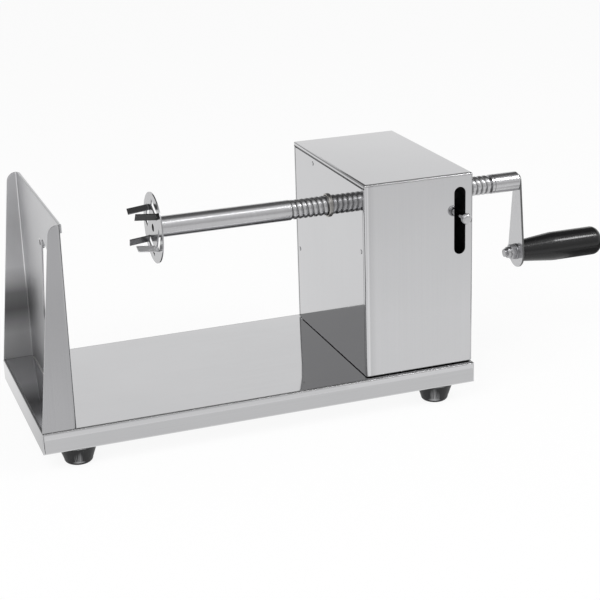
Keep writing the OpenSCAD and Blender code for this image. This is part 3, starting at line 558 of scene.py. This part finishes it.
# Floor and surround. A pale floor and a white world, which the camera and bright metal see white;
# the floor keeps a soft shadow. The light that the world gives the cutter is weaker than that.
world_light = 0.55
floor_glow = 0.9            # the rest of what shows of the floor is its own lit surface
floor_gap = 0.0002


def seen(first):
    """1 for what the camera sees, straight or in bright metal, and 0 for the light on things."""
    straight, mirrored = (first.node("ShaderNodeLightPath", {}, {}, ray)
                          for ray in ("Is Camera Ray", "Is Glossy Ray"))
    return straight.most(mirrored)


world = bpy.data.worlds.new("studio")
world.use_nodes = True
bpy.context.scene.world = world
background = world.node_tree.nodes["Background"]
background.inputs["Color"].default_value = (1, 1, 1, 1)
strength = seen(Channel(world.node_tree)) * (1 - world_light) + world_light
world.node_tree.links.new(strength.socket, background.inputs["Strength"])

floor_mat, floor_shader, first = finish_of("pale_floor", 0, {
    "Base Color": (0.96, 0.96, 0.96, 1), "Roughness": 0.9, "Specular IOR Level": 0})
white = first.node("ShaderNodeEmission", {}, {"Color": (1, 1, 1, 1), "Strength": 1.0})
plain = Channel(first.tree, floor_shader.outputs[0])
mixed = first.node("ShaderNodeMixShader", {}, {0: seen(first) * floor_glow, 1: plain, 2: white})
first.tree.links.new(mixed.socket, first.tree.nodes["Material Output"].inputs["Surface"])
bm = bmesh.new()
bmesh.ops.create_grid(bm, x_segments=1, y_segments=1, size=8)
floor = object_of(bm, "floor", floor_mat)
floor.location = (0, 0, -floor_gap)

# Cards. Plain bright and dark cards round the cutter and flat beside it on the floor, which only
# reflections show; they give its bright sheets the bands that they have in a studio.
flat, upright, sideways = (0, 0, 0), (90, 0, 0), (90, 0, 90)


def card(name, centre, size, turn, rear, front):
    """A card as bright as rear at its rear edge, or its upper one where it stands, and as front
    at the opposite edge; 1 is white."""
    mat, shader, first = finish_of(name, 0, {
        "Base Color": (0, 0, 0, 1), "Roughness": 1, "Specular IOR Level": 0,
        "Emission Strength": 1})
    drive(mat, shader, Emission_Color=first.on_part().axis("Y").ramp(0.5, -0.5, rear, front))
    bm = bmesh.new()
    bmesh.ops.create_grid(bm, x_segments=1, y_segments=1, size=0.5)
    piece = object_of(bm, name, mat)
    piece.scale = (size[0], size[1], 1)
    piece.rotation_euler = [math.radians(a) for a in turn]
    piece.location = centre
    piece.visible_camera = False
    piece.visible_shadow = False
    piece.visible_diffuse = False


for name, centre, size, turn, rear, front in (
        ("card_overhead", (0, 1.25, 1.5), (5, 2.1), flat, 0.1, 0.16),
        ("card_above", (0, -0.15, 1.5), (5, 0.7), flat, 0.16, 1.1),
        ("card_strip", (0, -0.88, 1.5), (5, 0.2), flat, 3.6, 3.6),
        ("card_strip_right", (1.05, -0.82, 1.49), (0.4, 0.34), flat, 20, 20),
        ("card_behind_camera", (0, -2.4, 1.3), (7, 2.6), upright, 1.0, 0.58),
        ("card_back", (0, 4.5, 1.9), (12, 3.2), upright, 0.92, 0.92),
        ("card_left_rear", (-0.85, 1.5, 0.7), (1.3, 0.9), upright, 0.45, 0.45),
        ("card_left", (-1.6, -0.1, 0.5), (1.0, 1.2), sideways, 0.1, 0.1),
        ("card_floor_rear", (0.5, 0.8, 0.001), (0.9, 0.7), flat, 0.7, 0.1),
        ("card_floor_side", (0.75, 0.1, 0.001), (0.9, 0.6), flat, 0.2, 0.2),
        ("card_floor_left_dark", (-0.37, -0.155, 0.0015), (0.13, 0.09), flat, 0.05, 0.9),
        ("card_floor_left", (-0.4, -0.255, 0.0015), (0.2, 0.1), flat, 0.9, 0.9),
        ("card_floor_end", (-0.345, 0.07, 0.0015), (0.11, 0.26), flat, 0.96, 0.66),
        ("card_floor_wing", (-0.15, -0.38, 0.0012), (0.34, 0.42), flat, 0.94, 0.8),
        ("card_floor_near", (0, -0.135, 0.001), (0.8, 0.06), flat, 0.84, 0.84),
        ("card_floor_front", (0, -0.9, 0.001), (6, 1.2), flat, 1, 0.72)):
    card(name, centre, size, turn, rear, front)

# Lamps. Two large soft ones, in front to the left and to the right of the cutter. Bright metal
# doesn't show them, because the cards stand for what it would reflect.
for name, centre, aim, size, power in (
        ("lamp_left", (-1.3, -1.2, 1.7), (0, 0, 0.1), 1.4, 24),
        ("lamp_right", (1.4, -1.0, 1.5), (0.1, 0, 0.1), 1.2, 14)):
    lamp = bpy.data.lights.new(name, "AREA")
    lamp.shape = "SQUARE"
    lamp.size = size
    lamp.energy = power
    hung = bpy.data.objects.new(name, lamp)
    hung.location = centre
    hung.rotation_euler = (Vector(centre) - Vector(aim)).to_track_quat("Z", "Y").to_euler()
    hung.visible_glossy = False
    bpy.context.collection.objects.link(hung)

# Camera. It stands to the left in front of the cutter and looks down on it at the photograph's
# angle: turned to the right by yaw, tipped down by dip and rolled a little.
camera_place = (-0.4818, -1.2915, 0.5722)
yaw, dip, roll = (math.radians(a) for a in (19.42, 19.433, -1.777))
ahead = Vector((math.sin(yaw) * math.cos(dip), math.cos(yaw) * math.cos(dip), -math.sin(dip)))
across = Vector((math.cos(yaw), -math.sin(yaw), 0))
upward = across.cross(ahead)
side = across * math.cos(roll) + upward * math.sin(roll)
top = upward * math.cos(roll) - across * math.sin(roll)
lens = bpy.data.cameras.new("camera")
lens.sensor_width = 36
lens.lens = 93.87
camera = bpy.data.objects.new("camera", lens)
turned = Matrix((side, top, -ahead)).transposed().to_4x4()
camera.matrix_world = Matrix.Translation(camera_place) @ turned
bpy.context.collection.objects.link(camera)
bpy.context.scene.camera = camera
bpy.context.scene.view_settings.view_transform = "Standard"

bpy.context.view_layer.update()
